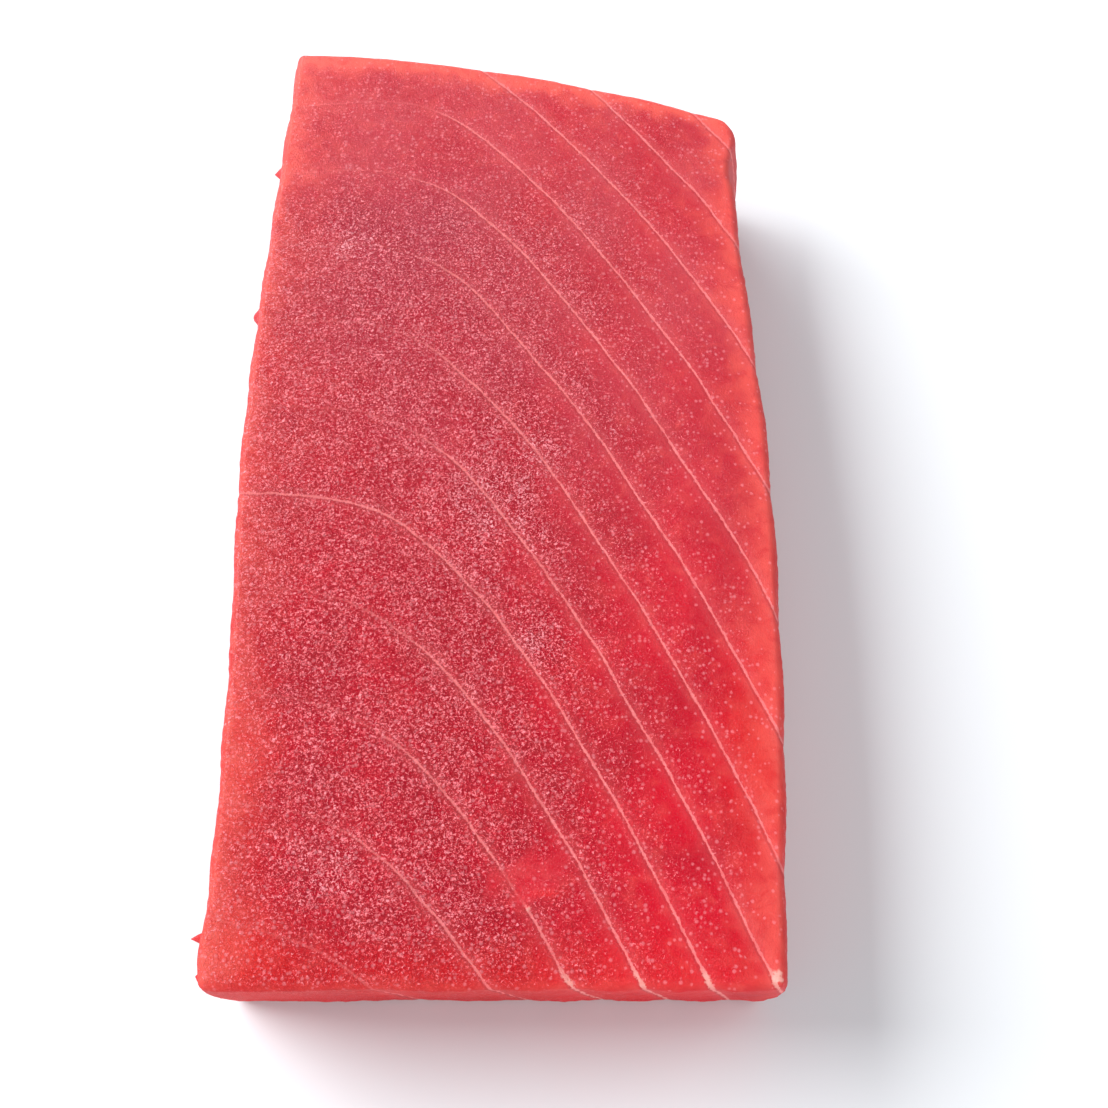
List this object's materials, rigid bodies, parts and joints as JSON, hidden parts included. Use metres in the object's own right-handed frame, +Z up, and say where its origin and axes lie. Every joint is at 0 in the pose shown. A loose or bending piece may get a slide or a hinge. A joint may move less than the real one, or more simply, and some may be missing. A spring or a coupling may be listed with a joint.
{
  "type": "raw tuna block",
  "caption": "Boneless block of raw lean tuna, cut square from the loin to be sliced, with curved white seams between its muscle layers.",
  "frame": {"origin": "middle of the underside, halfway along the block's length and width", "axes": "+X to the right across the width, +Y along the length towards the skew-cut far end, +Z up"},
  "size_m": [0.091, 0.1718, 0.028],
  "materials": {
    "raw_flesh": "wet raw flesh"
  },
  "bodies": {
    "root": {"tuna_block": "raw_flesh"}
  },
  "joints": []
}
